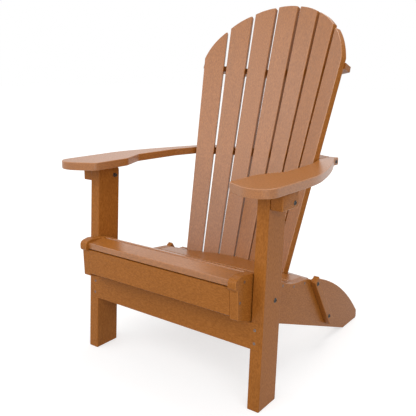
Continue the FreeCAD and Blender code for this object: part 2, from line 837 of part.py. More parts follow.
def arch_height(number, share):
    """Height at which a slat's edge or middle line meets the arched top."""
    across = slat_frame(number)[0]
    centre = (size("arch_top_z") - size("back_ref_z")) / cos(size("back_recline"))
    centre -= size("arch_radius")
    low = size("back_ref_z")
    high = size("arch_top_z") + size("arch_radius")
    for _ in range(50):
        z = (low + high) / 2
        point = fan_point(number, z) + across * (share * fan_wide(z) / 2)
        above = along_back(point) - centre
        inside = above < 0 or math.hypot(point.x, above) < size("arch_radius")
        low, high = (z, high) if inside else (low, z)
    return low


def slat_ring(number, spots, margin=0.0):
    """Points of a slat's own plane, from (share of half its width, height)."""
    low = size("back_low_z")
    across, front = slat_frame(number)
    to_own = axes(fan_point(number, low), across, front.cross(across)).inverse()
    ring = []
    for share, z in spots:
        own = to_own.multVec(fan_point(number, z) + across * share * (fan_wide(z) / 2 + margin))
        ring.append(Vector(own.x, own.y, 0))
    return ring


def slat_back(number):
    """Placement of a slat: own z toward its front face, from its rear face."""
    across, front = slat_frame(number)
    foot = fan_point(number, size("back_low_z"))
    return axes(foot - front * size("back_thick"), across, front.cross(across))


def make_back_slats():
    """Flat tapered slats fanned round a cone, cut to one arch at the top."""
    low = size("back_low_z")
    for number in SLATS:
        spots = [(-1, low), (1, low)]
        spots += [(share, arch_height(number, share)) for share in (1, 0, -1)]
        ring = slat_ring(number, spots)
        outline = [
            Part.LineSegment(ring[0], ring[1]),
            Part.LineSegment(ring[1], ring[2]),
            Part.Arc(ring[2], ring[3], ring[4]),
            Part.LineSegment(ring[4], ring[0]),
        ]
        name = f"back_slat_{number - SLATS.start + 1}"
        keep(board(name, outline, "Sizes.back_thick", slat_back(number)))


def fan_space():
    """The space ahead of the slats' rear faces: one thick wedge per slat."""
    low = size("back_low_z") - size("lower_rail_thick")
    high = size("arch_top_z")
    wedges = []
    for number in SLATS:
        right = -3 if number == SLATS[0] else -1
        left = 3 if number == SLATS[-1] else 1
        spots = [(right, low), (left, low), (left, high), (right, high)]
        ring = slat_ring(number, spots, margin=6.0)
        ahead = Vector(0, 0, size("fan_low_radius") / 2)
        wedge = Part.Face(Part.makePolygon(ring + ring[:1])).extrude(ahead)
        wedge.Placement = slat_back(number)
        wedges.append(wedge)
    return wedges


def make_rail(name, outline, thick, placement, bolt_holes=()):
    """A rail behind the slats: its front edge is cut to lie flat on every slat."""
    blank = board(name + "_blank", outline, thick, placement)
    tool = doc.addObject("Part::Feature", name + "_fan_space")
    tool.Shape = Part.makeCompound(fan_space() + list(bolt_holes))
    rail = doc.addObject("Part::Cut", name)
    rail.Base = blank
    rail.Tool = tool
    rail.Label = name
    doc.recompute()
    keep(rail)
    return rail


def end_bores(y, z, half):
    """Blind bolt holes in both ends of a rail."""
    radius = size("bolt_radius") + size("running_gap")
    depth = size("end_bolt_depth") + 1.0
    return [Part.makeCylinder(radius, depth, at(y, z, side * half), Vector(-side, 0, 0))
            for side in SIDES.values()]


def bowed(half, front, end, middle):
    """A rail's outline: straight front and ends, rear edge bowed to the rear."""
    ring = [Vector(half, end, 0), Vector(half, front, 0), Vector(-half, front, 0),
            Vector(-half, end, 0)]
    outline = [Part.LineSegment(ring[k], ring[k + 1]) for k in range(3)]
    outline.append(Part.Arc(ring[3], Vector(0, middle, 0), ring[0]))
    return outline


def make_back_rails():
    """Three rails: one level with the arms, one high, one low between the stringers."""
    deep = size("rail_deep")
    half = size("arm_tail_inner_x") - size("side_gap")
    rear = size("arm_rail_rear_y")
    tail = size("arm_tail_y")
    front = size("arm_rail_front_y")
    slant = size("arm_rail_slant")
    corners = [
        (-half, front, 2), (half, front, 2), (half, tail, 6), (half - slant, rear, 6),
        (slant - half, rear, 6), (-half, tail, 6),
    ]
    level = Placement(Vector(0, DATUM, ARM_UNDER_Z), Rotation())
    pivot_z = ARM_UNDER_Z + size("arm_thick") / 2
    rails = [make_rail("back_rail_arm", rounded(corners), "Sizes.arm_thick", level,
                       end_bores(size("arm_rear_pivot_y"), pivot_z, half))]

    z = size("upper_rail_z")
    behind = fan_point(0, z) + BACK_REAR * size("back_thick")
    inner = fan_radius(z) - size("back_thick")
    half = size("upper_rail_half")
    front = math.sqrt(inner ** 2 - half ** 2) - inner
    end = math.sqrt((inner + deep) ** 2 - half ** 2) - inner
    place = axes(behind - BACK_UP * size("upper_rail_thick"), Vector(1, 0, 0), BACK_REAR)
    rails.append(make_rail("back_rail_upper", bowed(half, front - 5.0, end, deep),
                           "Sizes.upper_rail_thick", place))

    pivot = at(size("link_high_y"), size("link_high_z"))
    lift = along_back(pivot) - size("lower_rail_thick") / 2
    z = size("back_ref_z") + lift * cos(size("back_recline"))
    behind = fan_point(0, z) + BACK_REAR * size("back_thick")
    ahead = (pivot - behind).dot(BACK_REAR)
    half = size("seat_width") / 2 - size("side_gap")
    lap = size("lower_rail_lap")
    rails.append(make_rail("back_rail_lower", bowed(half, ahead - lap, ahead + lap, deep),
                           "Sizes.lower_rail_thick", axes(behind, Vector(1, 0, 0), BACK_REAR),
                           end_bores(size("link_high_y"), size("link_high_z"), half)))
    return rails


def make_back_screws(rails):
    """From behind, one screw through each rail into each slat."""
    shapes = []
    for rail in rails:
        middle = rail.Shape.BoundBox.Center
        for number in SLATS:
            front = slat_frame(number)[1]
            z = middle.z
            for _ in range(20):
                start = fan_point(number, z) - front * size("back_thick")
                line = Part.makeLine(start, start - front * 200.0)
                inside = line.common(rail.Shape)
                if inside.Edges:
                    break
                z += 2.0
            through = inside.Edges[0].Length if inside.Edges else 0.0
            head = start - front * (through - size("screw_proud"))
            shapes.append(screw(head, -front, through + size("rail_screw_bite")))
    solids("back_screws", shapes)


def make_back_pivots():
    """Bolts from the links into the ends of the lower rail, over the open notches."""
    seat = LINK_OUT + STOP_GAP
    grip = seat - size("seat_width") / 2 + size("side_gap") + size("end_bolt_depth")
    spot = (size("link_high_y"), size("link_high_z"))
    solids("link_high_bolts", [bolt(at(*spot, side * seat), Vector(side, 0, 0), grip)
                               for side in SIDES.values()])


make_seat_frame()
make_seat_screws()
make_frame_pivots()
make_leg_frame()
make_links()
make_arms()
make_arm_pivots()
make_back_slats()
make_back_screws(make_back_rails())
make_back_pivots()
doc.recompute()

for item in doc.Objects:
    if "Invalid" in item.State or "Error" in item.State:
        raise RuntimeError(f"{item.Label} did not compute: {item.State}")
for item in parts:
    if item.Shape.isNull() or not item.Shape.isValid():
        raise RuntimeError(f"{item.Label} has no valid shape")

os.makedirs("parts", exist_ok=True)
for item in parts:
    item.Shape.exportStep(f"parts/{item.Label}.step")
print(len(parts), "parts written")
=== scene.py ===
import json
import math

import bpy
import numpy as np
from bpy.types import NodeSocket, Operator, Panel, PropertyGroup
from mathutils import Matrix, Vector

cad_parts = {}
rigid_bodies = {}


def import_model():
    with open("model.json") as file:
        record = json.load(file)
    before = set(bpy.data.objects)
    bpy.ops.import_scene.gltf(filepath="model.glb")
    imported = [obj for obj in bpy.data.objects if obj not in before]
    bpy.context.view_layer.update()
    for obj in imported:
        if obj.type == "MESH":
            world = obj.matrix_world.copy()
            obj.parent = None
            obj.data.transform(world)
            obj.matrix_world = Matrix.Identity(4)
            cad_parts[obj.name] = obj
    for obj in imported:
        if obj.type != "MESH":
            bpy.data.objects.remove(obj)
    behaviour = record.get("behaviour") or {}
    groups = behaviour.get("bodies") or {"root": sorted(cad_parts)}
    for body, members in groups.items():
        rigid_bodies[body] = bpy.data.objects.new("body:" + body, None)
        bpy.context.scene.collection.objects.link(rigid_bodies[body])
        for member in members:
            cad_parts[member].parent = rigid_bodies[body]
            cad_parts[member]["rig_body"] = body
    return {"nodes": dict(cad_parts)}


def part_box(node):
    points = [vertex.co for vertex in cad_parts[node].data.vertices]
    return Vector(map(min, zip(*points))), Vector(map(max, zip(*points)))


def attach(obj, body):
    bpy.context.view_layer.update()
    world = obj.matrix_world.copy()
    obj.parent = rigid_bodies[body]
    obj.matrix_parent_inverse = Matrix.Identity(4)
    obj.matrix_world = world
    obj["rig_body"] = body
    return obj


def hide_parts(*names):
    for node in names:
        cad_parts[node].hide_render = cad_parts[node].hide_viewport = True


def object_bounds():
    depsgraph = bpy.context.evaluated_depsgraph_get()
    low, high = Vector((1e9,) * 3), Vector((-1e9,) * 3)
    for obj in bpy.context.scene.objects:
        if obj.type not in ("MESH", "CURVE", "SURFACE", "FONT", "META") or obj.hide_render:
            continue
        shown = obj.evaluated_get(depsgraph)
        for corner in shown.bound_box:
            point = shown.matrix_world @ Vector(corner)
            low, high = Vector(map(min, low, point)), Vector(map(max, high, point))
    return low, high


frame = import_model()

bl_info = {
    "name": "Adirondack chair",
    "version": (1, 0, 0),
    "blender": (4, 5, 0),
    "location": "View3D > Sidebar > Chair",
    "description": "Boards, hardware, finishes and studio of a folding adirondack chair",
    "category": "Object",
}

# Everything is in metres. X is across the chair, the chair faces -Y and Z is up.
# A "side view" point is (y, z), with y counted from the front foot's front edge.
# An outline's corners are (across, up, radius of the corner), anticlockwise.

CAD_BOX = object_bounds()
SIDES = {"left": 1, "right": -1}
SLATS = np.arange(-3, 4)        # the back's middle slat is number 0
EASE_STEPS = 5                  # points on each eased edge of a board
RUBBED = ("seat_slat", "back_slat", "arm_left", "arm_right")    # boards with a satin finish

# Noise: scale along, across and through (per metre), detail and roughness
PEBBLE = (130.0, 280.0, 280.0), 4.0, 0.62
BRUSH = (11.0, 360.0, 360.0), 3.0, 0.55
CLOUD = (5.0, 22.0, 22.0), 3.0, 0.50
PEEL = (900.0,) * 3, 2.0, 0.5
RUB = (420.0,) * 3, 4.0, 0.7
SCRATCH = (300.0, 2600.0, 1200.0), 3.0, 0.6
PATCH = (220.0,) * 3, 2.0, 0.5

# Lumber materials: finish, and the turn that lays a CAD node's length along the texture's x,
# or None for a board with a grain layer of its own
LUMBER = {
    "lumber_satin_grain": ("satin", None),
    "lumber_matte_grain": ("matte", None),
    "lumber_matte_0_90_0": ("matte", (0.0, math.pi / 2, 0.0)),
    "lumber_matte_0_0_0": ("matte", (0.0, 0.0, 0.0)),
}

# Lamps: place, and size across and up. Each looks at the middle of the chair.
LAMPS = {
    "key": ((-0.60, -2.50, 2.10), (4.8, 2.2)),
    "front": ((-0.2, -3.2, 0.80), (2.6, 0.8)),
    "side": ((2.9, -1.9, 1.5), (2.0, 2.0)),
    "top": ((0.3, 0.9, 3.1), (2.0, 2.0)),
    "left": ((-3.0, -0.9, 1.9), (2.4, 1.6)),
    "rear": ((-1.9, 2.6, 2.3), (2.6, 1.6)),
}


def span(node, axis):
    """Lowest and highest place of a CAD node along one axis (0, 1 or 2)."""
    low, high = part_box(node)
    return low[axis], high[axis]


# ---- settings

def setting(name, default, description, **more):
    """A number that a user may change, or several together."""
    kind = bpy.props.FloatProperty
    if isinstance(default, (list, tuple)):
        kind, more["size"] = bpy.props.FloatVectorProperty, len(default)
    return kind(name=name, default=default, description=description, **more)


def length(name, default, description):
    """A size or a place, in metres."""
    return setting(name, default, description, unit="LENGTH", precision=4)


def angle(name, degrees, description):
    """A slope or step, written in degrees and kept in radians."""
    return setting(name, np.radians(degrees).tolist(), description, unit="ROTATION")


def share(name, default, description, high=1.0):
    """A plain number from 0 up."""
    return setting(name, default, description, min=0.0, max=high)


def colour(name, default, description):
    """A linear colour."""
    return setting(name, default, description, min=0.0, max=1.0, subtype="COLOR")


def power(name, watts, description):
    """The power of a lamp."""
    return setting(name, watts, description, min=0.0, unit="POWER")


class SeatSizes(PropertyGroup):
    """Stringers, seat slats and apron."""
    datum: length("Datum", -0.349, "Front foot's front edge, from the middle")
    heel_y: length("Heel", 0.6437, "Lower edge meets the floor")
    slope: angle("Stringer slope", 21.9, "Of its lower edge")
    front_y: length("Stringer front", -0.0445, "Below its nose")
    toe: length("Toe", (0.7606, 0.030), "Top of the foot's rear face")
    tail_rise: length("Tail rise", 0.0238, "Rise of the arched tail")
    nose: length("Nose", (-0.0573, 0.361), "Its front and lower edge")
    crest: length("Crest", (0.031, 0.3968), "Seat line's top: behind the nose, and height")
    nose_drop: length("Nose drop", 0.006, "Its top corner below the crest")
    slopes: angle("Seat slopes", (7.6, 26.2, 6.1), "Ahead of, between and behind the bends")
    bends_y: length("Bends", (0.0426, 0.2433), "Front and rear bend")
    bend_radii: length("Bend radii", (0.180, 0.225), "Of both bends")
    notch: length("Notch", (0.3763, 0.2495), "Its wall and floor")
    notch_rim: length("Notch rim", (0.029, 0.011), "Level stretch ahead, and drop to the wall")
    rim: length("Rim", (0.446, 0.248), "Where the arched tail starts")
    slat: length("Slat", (0.0635, 0.0195), "Width and thickness of a seat slat")
    spacing: length("Spacing", (0.0538, 0.0065), "Crest to second slat, and the slats' gaps")
    front_slat: length("Front slat", (-0.047, 0.386), "Place of its front edge")
    front_slat_rise: angle("Front slat rise", 3.0, "Tilt of the front slat")
    back_clearance: length("Back clearance", 0.003, "Behind the rear slat")
    apron: length("Apron", (-0.0450, 0.2845, 0.3635), "Front, lower edge and upper edge")
    apron_lean: angle("Apron lean", 1.9, "Of the apron's face")


class LegSizes(PropertyGroup):
    """Stretcher between the front legs, and the folding links."""
    lean: angle("Leg lean", 3.42, "Of the front legs")
    stretcher_z: length("Stretcher", (0.176, 0.0008), "Its lower edge, and the gap above it")
    stretcher: length("Stretcher size", (0.020, 0.005), "Thickness, and rear top bevel")
    link: length("Link", (0.030, 0.0035), "Width, and middle line behind the pivots")
    link_over: length("Link ends", (0.015, 0.0367), "Past the pivots, top and foot")
    link_high: length("Upper pivot", (0.382, 0.255), "Upper end of the link")
    link_low: length("Lower pivot", (0.476, 0.112), "Lower end of the link")


class ArmSizes(PropertyGroup):
    """Arms and the cleats under them."""
    front_y: length("Arm front", -0.063, "Front edge of the arm")
    cut: length("Front cut", (0.073, 0.039), "Width and depth at the inner corner")
    front_radii: length("Front radii", (0.050, 0.070), "Outer corner, and the cut's")
    reaches: length("Roundings", (0.053, 0.100), "Reach at the side and the sweep")
    side_y: length("Straight side", 0.211, "Rear end of the outer side")
    sweep: length("Sweep", (0.048, 0.388), "How far in it comes, and where")
    cheek_y: length("Cheek", 0.113, "Inner side narrows from here")
    waist: length("Waist", (0.004, 0.205), "Outside the tail's outer face, and where")
    neck_y: length("Neck", 0.480, "Start of the narrow tail")
    tail_x: length("Tail faces", (0.2575, 0.2885), "Inner and outer, from the middle")
    tail_y: length("Tail end", (0.534, 0.567), "Start and end of the bolt's flat")
    cleat: length("Cleat", (0.038, 0.085), "Its front edge and length")


class BackSizes(PropertyGroup):
    """The fan of back slats."""
    recline: angle("Recline", 17.97, "Slope of the back")
    ref: length("Reference", (0.424, 0.300), "Front face where the sizes start")
    height: length("Fan height", 0.700, "From the low sizes to the high ones")
    radii: length("Curve", (0.380, 0.566), "Fan's radius, low and high")
    steps: angle("Step", (9.6, 8.8), "Between slats, low and high")
    widths: length("Slat width", (0.058, 0.076), "Low and high")
    thick: length("Slat thickness", 0.022, "Of a back slat")
    low_z: length("Slat foot", 0.232, "Height of the lower ends")
    arch: length("Arch", (1.1635, 0.2910), "Height and radius of the top")
    slat_corner: length("Slat corner", 0.003, "Rounding of its corners")


class BitSizes(PropertyGroup):
    """Bolts, screws, nuts and washers, and the boards' eased edges."""
    ease: length("Eased edge", 0.0025, "Of the boards")
    sawn: length("Sawn edge", 0.0006, "Of the bars' ends")
    head: length("Bolt head", (0.007, 0.004), "Radius and height")
    bolt_radius: length("Bolt radius", 0.004, "Of its shank")
    socket: length("Bolt socket", (0.0025, 0.0020), "Half width and depth")
    nut_flat: length("Nut width", 0.011, "Across the nut's flats")
    screw: length("Screw", (0.0021, 0.0003), "Radius, and the head above the board")
    screw_head: length("Screw head", (0.004, 0.0024), "Radius, and the cone's depth")
    drive: length("Screw drive", (0.0017, 0.0014), "Radius and depth")


class LumberLook(PropertyGroup):
    """Wood-look plastic lumber."""
    light: colour("Light grain", (0.402, 0.143, 0.025), "On the grain's high spots")
    dark: colour("Dark grain", (0.262, 0.085, 0.011), "In the grain's hollows")
    # painted highlight: a lighter colour along the eased edges, standing in for their
    # reflection
    edge: colour("Edge", (0.46, 0.175, 0.04), "Along the eased edges")
    rough: share("Roughness", 0.33, "Of the boards' faces")
    matte: share("Frame's gloss", 0.14, "Reflection of the legs and side boards")
    satin: share("Seat's gloss", 0.80, "Reflection where a sitter rubs")
    relief: share("Grain relief", 0.30, "Of the pebbled grain")
    seed: bpy.props.IntProperty(name="Seed", description="Changes every board's grain",
                                default=7, min=0)


class BitLook(PropertyGroup):
    """Painted bolts and plain steel."""
    paint: colour("Bolt paint", (0.030, 0.024, 0.020), "Dark painted bolt heads")
    bare: colour("Rubbed paint", (0.30, 0.28, 0.26), "Metal under the paint")
    steel: colour("Steel", (0.16, 0.16, 0.16), "Screws, nuts and washers")
    paint_rough: share("Paint roughness", 0.34, "Of the painted heads")
    steel_rough: share("Steel roughness", 0.30, "Of the brushed steel")


class StudioSettings(PropertyGroup):
    """Camera, lamps and floor."""
    place: length("Camera place", (1.09718, -1.55777, 0.91825), "Where the camera stands")
    turn: angle("Camera turn", (35.61, 11.166, 0.444), "From the chair's front, down, roll")
    lens: setting("Lens", 49.45, "Focal length in millimetres", min=1.0, unit="CAMERA")
    shift: setting("Shift", (-0.0456, -0.0529), "Framing of the view")
    sky: share("Sky", 0.46, "Even light from all round", 5.0)
    key: power("Key lamp", 52.0, "Soft lamp ahead and above")
    front: power("Front lamp", 2.0, "Soft lamp ahead, near the floor")
    side: power("Side lamp", 38.0, "Soft lamp at the sitter's left")
    top: power("Top lamp", 36.0, "Soft lamp overhead")
    left: power("Left lamp", 8.0, "Soft lamp at the camera's left")
    rear: power("Rear lamp", 6.0, "Soft lamp behind")
    floor: colour("Floor", (0.50, 0.50, 0.50), "The floor's own colour")
    floor_lift: share("Floor lift", 0.62, "Whitens the floor where it is seen", 2.0)


def group(kind, name):
    """A group of settings."""
    return bpy.props.PointerProperty(type=kind, name=name, description=kind.__doc__)


class ChairSettings(PropertyGroup):
    """All the settings of the chair."""
    seat: group(SeatSizes, "Seat")
    legs: group(LegSizes, "Legs")
    arms: group(ArmSizes, "Arms")
    back: group(BackSizes, "Back")
    bits: group(BitSizes, "Bits")
    lumber: group(LumberLook, "Lumber")
    metal: group(BitLook, "Metal")
    studio: group(StudioSettings, "Studio")


# ---- surfaces

def unit(vectors):
    """Vectors along the last axis, each divided by its own length."""
    vectors = np.asarray(vectors, float)
    return vectors / np.linalg.norm(vectors, axis=-1, keepdims=True)


def corner_ring(corners, steps):
    """A closed outline with rounded corners, anticlockwise.

    Two parameters: the corner, and the share of its turn. The point is the arc's centre plus
    the radius times the outward normal, which turns evenly from the side that arrives to the
    side that leaves; the centre is one radius in from both. On a hollow corner the centre is
    outside and the radius counts backwards. Returns points, outward normals, the inset at
    which each corner's arc is used up, and the mitre that its point then follows.
    """
    corners = np.asarray(corners, float)
    here, radius = corners[:, :2], corners[:, 2:]
    arrive = unit(here - np.roll(here, 1, axis=0))
    leave = np.roll(arrive, -1, axis=0)
    turn = np.arctan2(arrive[:, :1] * leave[:, 1:] - arrive[:, 1:] * leave[:, :1],
                      (arrive * leave).sum(axis=1, keepdims=True))
    sense = np.sign(turn)
    first = np.arctan2(-arrive[:, :1], arrive[:, 1:])
    heading = first + np.linspace(0.0, 1.0, steps) * turn
    normal = np.stack([np.cos(heading), np.sin(heading)], axis=-1)
    touch = here - arrive * radius * np.abs(np.tan(turn / 2))
    square = np.stack([arrive[:, 1], -arrive[:, 0]], axis=-1)
    centre = touch - sense * radius * square
    points = centre[:, None] + (sense * radius)[:, None] * normal
    mitre = unit(leave - arrive) / np.cos(turn / 2)
    limit = np.where(sense > 0, radius, np.inf)
    return (points.reshape(-1, 2), normal.reshape(-1, 2),
            *(np.repeat(each, steps, axis=0) for each in (limit, mitre)))


def eased_side(thick, ease):
    """A board's side in section, from its low face to its high face.

    One parameter, the lean of the surface's normal: a quarter circle from -90 degrees to
    level, the straight side, and a quarter circle to +90 degrees. Returns the inset, which is
    the ease times one less the cosine, the height, which is the quarter circle's centre plus
    the ease times the sine, and the lean.
    """
    quarter = np.linspace(0.0, np.pi / 2, EASE_STEPS)
    lean = np.concatenate([quarter - np.pi / 2, quarter])[:, None, None]
    centre = np.repeat((ease, thick - ease), EASE_STEPS)[:, None, None]
    return ease * (1 - np.cos(lean)), centre + ease * np.sin(lean), lean


def set_place(origin, x_axis, y_axis):
    """Where a board's own axes lie: its origin, x, y and z directions as rows."""
    x_axis, y_axis = unit(x_axis), unit(y_axis)
    return np.array([origin, x_axis, y_axis, np.cross(x_axis, y_axis)], float)


def mesh_of(name, points, turns=False):
    """A closed mesh from a grid of points (solid, ring, place round the ring, xyz).

    Four-sided faces join each ring to the next. With turns the last ring joins the first, as
    in a washer; otherwise a flat face closes each end.
    """
    solids, rings, around = points.shape[:3]
    index = np.arange(points.size // 3).reshape(solids, rings, around)
    bands = rings if turns else rings - 1
    low, high = index[:, :bands], np.roll(index, -1, axis=1)[:, :bands]
    quads = np.stack([low, np.roll(low, -1, axis=2), np.roll(high, -1, axis=2), high], axis=-1)
    faces = quads.reshape(-1, 4).tolist()
    if not turns:
        faces += index[:, 0, ::-1].tolist() + index[:, -1].tolist()
    mesh = bpy.data.meshes.new(name)
    mesh.from_pydata(points.reshape(-1, 3).tolist(), [], faces)
    mesh.shade_smooth()
    return mesh


def link_object(name, data):
    """A new object in the scene."""
    thing = bpy.data.objects.new(name, data)
    bpy.context.scene.collection.objects.link(thing)
    return thing


def add_piece(mesh, node, finish):
    """One new object for a CAD node: it rides on the body and takes the node's place."""
    mesh.materials.append(bpy.data.materials[finish])
    piece = link_object(mesh.name, mesh)
    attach(piece, frame["nodes"][node]["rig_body"])
    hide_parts(node)
    return piece


def board(node, corners, thick, place, along, ease=None, steps=12):
    """A board: an outline carried through its thickness, its edges eased.

    Two parameters: the place on the outline and the height through the board. The point is
    the outline's point moved in by the eased side's inset at that height, and the normal is
    the outline's, leaned by the eased side's angle. Layers: "grain" is the point measured
    along the grain, across it and through the board, from a start of its own; "ease" is 1 in
    the middle of the rounded edge; "tone" is the board's own shade, from -1 to 1.
    """
    chair = bpy.context.scene.chair
    ring, normal, limit, mitre = corner_ring(corners, steps)
    inset, height, lean = eased_side(thick, chair.bits.ease if ease is None else ease)
    flat = ring - np.minimum(inset, limit) * normal + np.maximum(inset - limit, 0) * mitre
    level = np.ones_like(flat[..., :1])
    points = place[0] + np.concatenate([flat, height * level], axis=-1) @ place[1:]
    normals = np.concatenate([np.cos(lean) * normal, np.sin(lean) * level],
                             axis=-1) @ place[1:]
    number = sorted(frame["nodes"]).index(node)
    chance = np.random.default_rng([chair.lumber.seed, number])
    along = unit(along)
    face = place[3] if abs(along @ place[3]) < 0.5 else place[2]
    axes = np.array([along, np.cross(face, along), face])
    grain = (points - place[0]) @ axes.T + chance.uniform(0, 9, 3)
    mesh = mesh_of(node + "_board", points[None])
    for layer, kind, field, values in (
            ("grain", "FLOAT_VECTOR", "vector", grain),
            ("ease", "FLOAT", "value", np.abs(np.sin(2 * lean)) * level),
            ("tone", "FLOAT", "value", chance.uniform(-1, 1) * level)):
        mesh.attributes.new(layer, kind, "POINT").data.foreach_set(field, values.ravel())
    mesh.normals_split_custom_set_from_vertices(normals.reshape(-1, 3))
    finish = "satin" if node.startswith(RUBBED) else "matte"
    return add_piece(mesh, node, f"lumber_{finish}_grain")


def dull_sides(piece):
    """A matte finish on a board's straight sides, the middle one of its bands of faces."""
    mesh = piece.data
    mesh.materials.append(bpy.data.materials["lumber_matte_grain"])
    around = (len(mesh.polygons) - 2) // (2 * EASE_STEPS - 1)
    finish = np.zeros(len(mesh.polygons), np.int32)
    finish[(EASE_STEPS - 1) * around:EASE_STEPS * around] = 1
    mesh.polygons.foreach_set("material_index", finish)


def side_board(name, hand, corners, along):
    """A board on one side of the chair, from its outline in the side view."""
    inner, outer = span(name + "_left", 0)
    start = inner if SIDES[hand] > 0 else -outer
    place = set_place((start, bpy.context.scene.chair.seat.datum, 0), (0, 1, 0), (0, 0, 1))
    board(f"{name}_{hand}", corners, outer - inner, place, along)


def crossbar(node, corners, low=(0, 0), run=(1, 0)):
    """A board across the chair, from its section in the side view.

    low is where the section's own origin lies, and run is the direction of its first axis.
    """
    chair = bpy.context.scene.chair
    left, right = span(node, 0)
    place = set_place((left, chair.seat.datum + low[0], low[1]), (0, *run),
                      (0, -run[1], run[0]))
    board(node, corners, right - left, place, (1, 0, 0), chair.bits.sawn, 7)


def section(wide, thick, ease):
    """Corners of a bar's cross-section."""
    return [(0, 0, ease), (wide, 0, ease), (wide, thick, ease), (0, thick, ease)]


def arched(start, end, radius, part=0.97):
    """Corner and radius that turn a straight side into an arc of a circle.

    The corner is where the tangents at both ends meet: half the chord times the tangent of
    half the arc's angle, out from the chord's middle. The arc fills a part of the side.
    """
    start, end = np.array(start, float), np.array(end, float)
    chord = end - start
    half = np.linalg.norm(chord) / 2
    out = unit((chord[1], -chord[0]))
    corner = (start + end) / 2 + out * half * math.tan(math.asin(half / radius))
    return *corner, part * radius


# ---- finishes

def node_maker(tree):
    """Empties a tree of shader nodes and returns a function that makes them.

    It takes a node's kind, its inputs (values or sockets), the output to return, and the
    node's own settings.
    """
    tree.nodes.clear()

    def make(kind, inputs=(), output=0, **settings):
        node = tree.nodes.new("ShaderNode" + kind)
        for key, value in settings.items():
            setattr(node, key, value)
        for key, value in dict(inputs).items():
            if isinstance(value, NodeSocket):
                tree.links.new(value, node.inputs[key])
            else:
                node.inputs[key].default_value = value
        return node.outputs[output] if node.outputs else None

    return make


def new_material(name):
    """A new material; returns the maker of its nodes."""
    material = bpy.data.materials.new(name)
    material.use_nodes = True
    return node_maker(material.node_tree)


def ranged(make, source, low, high, to_low=0.0, to_high=1.0):
    """One number carried from one range to another."""
    return make("MapRange", enumerate((source, low, high, to_low, to_high)))


def mixed(make, factor, low, high):
    """A colour between two, each a socket or a plain colour."""
    return make("Mix", {0: factor, 6: low, 7: high}, 2, data_type="RGBA")


def streak(make, vector, scale, detail, rough):
    """Noise stretched by a scale of its own along, across and through the grain."""
    vector = make("Mapping", {"Vector": vector, "Scale": scale})
    return make("TexNoise", {"Vector": vector, "Scale": 1.0, "Detail": detail,
                             "Roughness": rough}, "Fac")


def finish_surface(make, height, strength, depth, inputs):
    """A shader whose surface is embossed by a height, set as the material's surface."""
    normal = make("Bump", {"Strength": strength, "Distance": depth, "Height": height})
    shader = make("BsdfPrincipled", {**inputs, "Normal": normal})
    make("OutputMaterial", {"Surface": shader})


def lumber_material(look, name, finish, turn):
    """Wood-look plastic lumber: a fine pebbled grain, drawn a little along the board, and a
    painted highlight along the eased edges.
    """
    make = new_material(name)
    if turn is None:
        grain = make("Attribute", output="Vector", attribute_name="grain")
    else:
        grain = make("Mapping", {"Vector": make("TexCoord", output="Object"),
                                 "Rotation": turn})
    tone = make("Attribute", output="Fac", attribute_name="tone")
    # painted highlight mask: 1 in the middle of each eased edge
    edge_highlight_mask = make("Attribute", output="Fac", attribute_name="ease")
    pebble, brush, cloud = (streak(make, grain, *noise) for noise in (PEBBLE, BRUSH, CLOUD))
    paint = mixed(make, ranged(make, pebble, 0.32, 0.68), (*look.dark, 1.0), (*look.light, 1.0))
    for source, low, high, change in ((brush, 0.28, 0.72, 0.025), (cloud, 0.28, 0.72, 0.04),
                                      (tone, -1.0, 1.0, 0.02)):
        value = ranged(make, source, low, high, 1 - change, 1 + change)
        paint = make("HueSaturation", {"Color": paint, "Value": value})
    # painted highlight: the edge colour mixed in along the middle of each eased edge
    paint = mixed(make, ranged(make, edge_highlight_mask, 0.2, 1.0, 0.0, 0.60), paint, (*look.edge, 1.0))
    finish_surface(make, pebble, look.relief, 0.0004, {
        "Base Color": paint,
        "Roughness": ranged(make, pebble, 0.3, 0.7, look.rough + 0.05, look.rough - 0.05),
        "Specular IOR Level": getattr(look, finish)})


def paint_material(look):
    """Dark paint on a bolt: a fine orange-peel skin with a few worn spots of metal."""
    make = new_material("bolt_paint")
    place = make("TexCoord", output="Object")
    peel, rub = streak(make, place, *PEEL), streak(make, place, *RUB)
    bare = ranged(make, rub, 0.62, 0.70)
    finish_surface(make, peel, 0.25, 0.0002, {
        "Base Color": mixed(make, bare, (*look.paint, 1.0), (*look.bare, 1.0)),
        "Metallic": ranged(make, bare, 0.0, 1.0, 0.15, 0.9),
        "Roughness": ranged(make, peel, 0.3, 0.7, look.paint_rough - 0.06,
                            look.paint_rough + 0.08)})


def steel_material(look):
    """Plain steel: fine scratches and faint dull patches."""
    make = new_material("plain_steel")
    place = make("TexCoord", output="Object")
    scratch, patch = streak(make, place, *SCRATCH), streak(make, place, *PATCH)
    dull = [0.72 * part for part in look.steel]
    finish_surface(make, scratch, 0.15, 0.0001, {
        "Base Color": mixed(make, ranged(make, patch, 0.35, 0.75), (*look.steel, 1.0),
                            (*dull, 1.0)),
        "Metallic": 1.0,
        "Roughness": ranged(make, scratch, 0.3, 0.7, look.steel_rough - 0.08,
                            look.steel_rough + 0.12)})


def dress(node, finish):
    """Give a CAD node that keeps its own shape a better material."""
    slots = frame["nodes"][node].material_slots
    for slot in slots:
        slot.material = bpy.data.materials[finish]
    if not slots:
        raise RuntimeError(f"{node} has no material slot")


class CHAIR_OT_finishes(Operator):
    """The materials of the boards, the bolts and the steel parts"""
    bl_idname = "chair.finishes"
    bl_label = "Finishes"

    def execute(self, context):
        chair = context.scene.chair
        for name, (finish, turn) in LUMBER.items():
            lumber_material(chair.lumber, name, finish, turn)
        paint_material(chair.metal)
        steel_material(chair.metal)
        return {"FINISHED"}


# ---- seat

def seat_corners(seat):
    """Side view of the seat: crest, front bend, rear bend, shoulder of the notch."""
    y = (seat.nose[0] + seat.crest[0], *seat.bends_y, seat.notch[0] - seat.notch_rim[0])
    fall = np.cumsum(np.diff(y) * np.tan(list(seat.slopes)))
    return list(zip(y, (seat.crest[1], *(seat.crest[1] - fall))))


